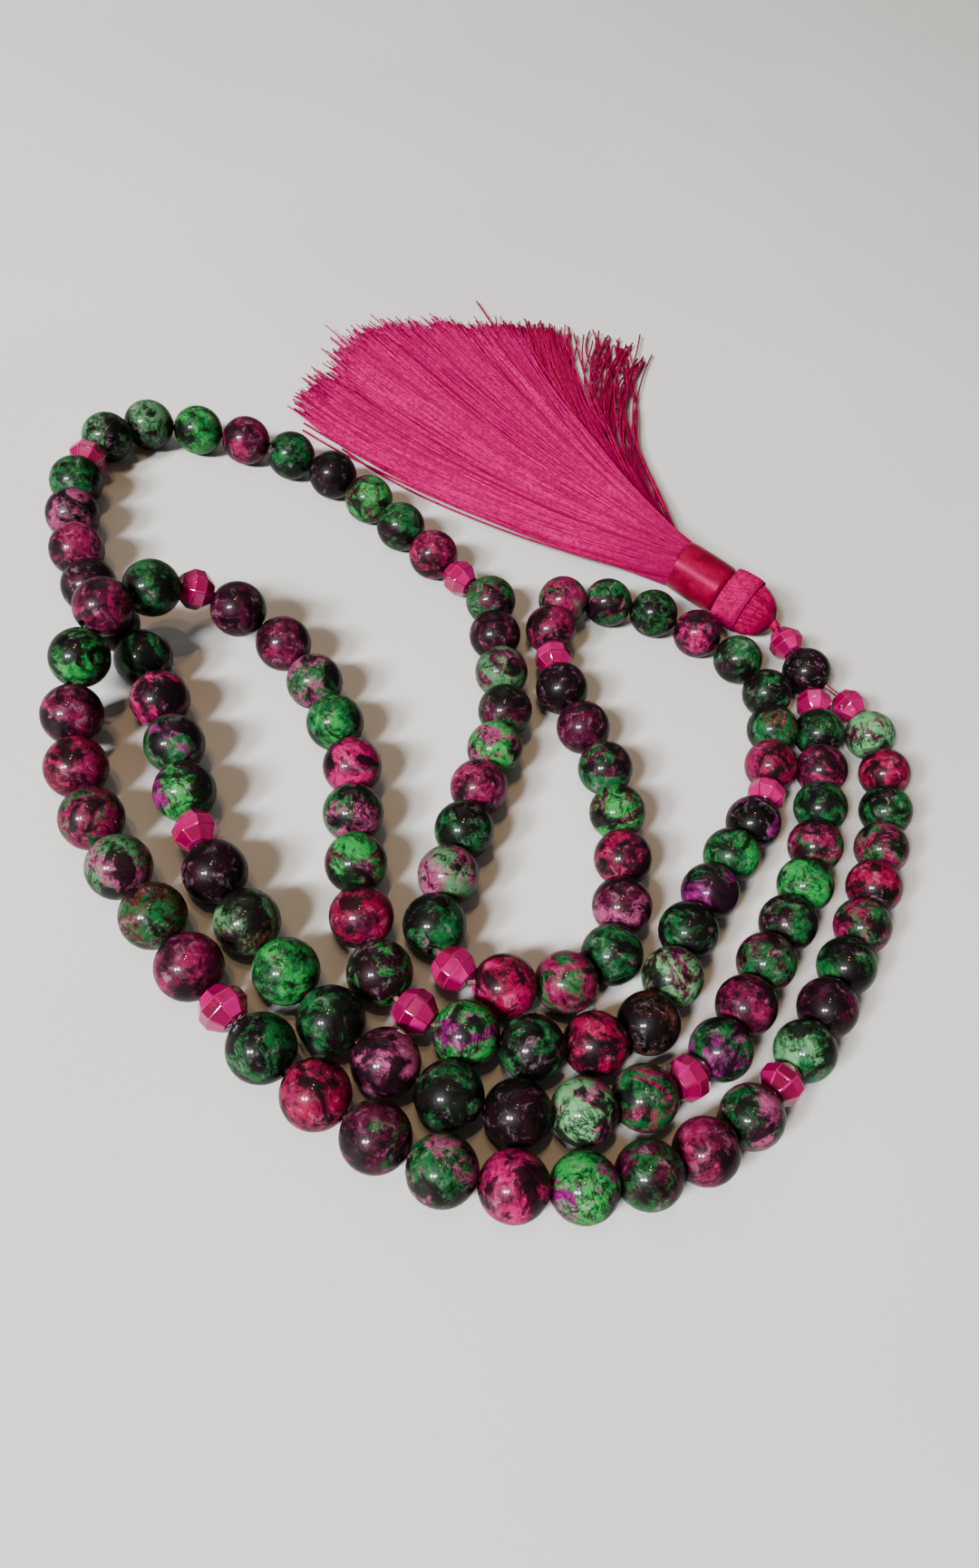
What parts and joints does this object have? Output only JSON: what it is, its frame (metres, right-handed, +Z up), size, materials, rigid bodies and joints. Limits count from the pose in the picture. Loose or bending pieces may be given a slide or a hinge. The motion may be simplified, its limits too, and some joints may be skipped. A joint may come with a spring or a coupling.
{
  "type": "beaded necklace",
  "caption": "Necklace of round polished stones with faceted crystal spacers, a guru bead and a fanned silk tassel, lying in loose loops.",
  "frame": {"origin": "middle of the necklace's footprint, on the surface that it lies on", "axes": "+Z up from the surface, +Y from the bottom of the loops towards the tassel, +X to the right"},
  "size_m": [0.1434, 0.1982, 0.0151],
  "materials": {
    "stone": "polished, mottled red and green",
    "guru": "polished, near black",
    "crystal": "cut, translucent fuchsia",
    "silk": "glossy silk thread",
    "satin": "satin wrapping"
  },
  "bodies": {
    "root": {"bead_string_a": "stone", "bead_string_b": "stone", "crystal_spacer_01": "crystal", "crystal_spacer_02": "crystal", "crystal_spacer_03": "crystal", "crystal_spacer_04": "crystal", "crystal_spacer_05": "crystal", "crystal_spacer_06": "crystal", "crystal_spacer_07": "crystal", "crystal_spacer_08": "crystal", "crystal_spacer_09": "crystal", "crystal_spacer_10": "crystal", "crystal_spacer_11": "crystal", "crystal_spacer_12": "crystal", "crystal_spacer_13": "crystal", "guru_bead": "guru", "tassel_crystal": "crystal", "tassel_head": "silk", "tassel_band": "satin", "tassel_skirt": "silk"}
  },
  "joints": []
}
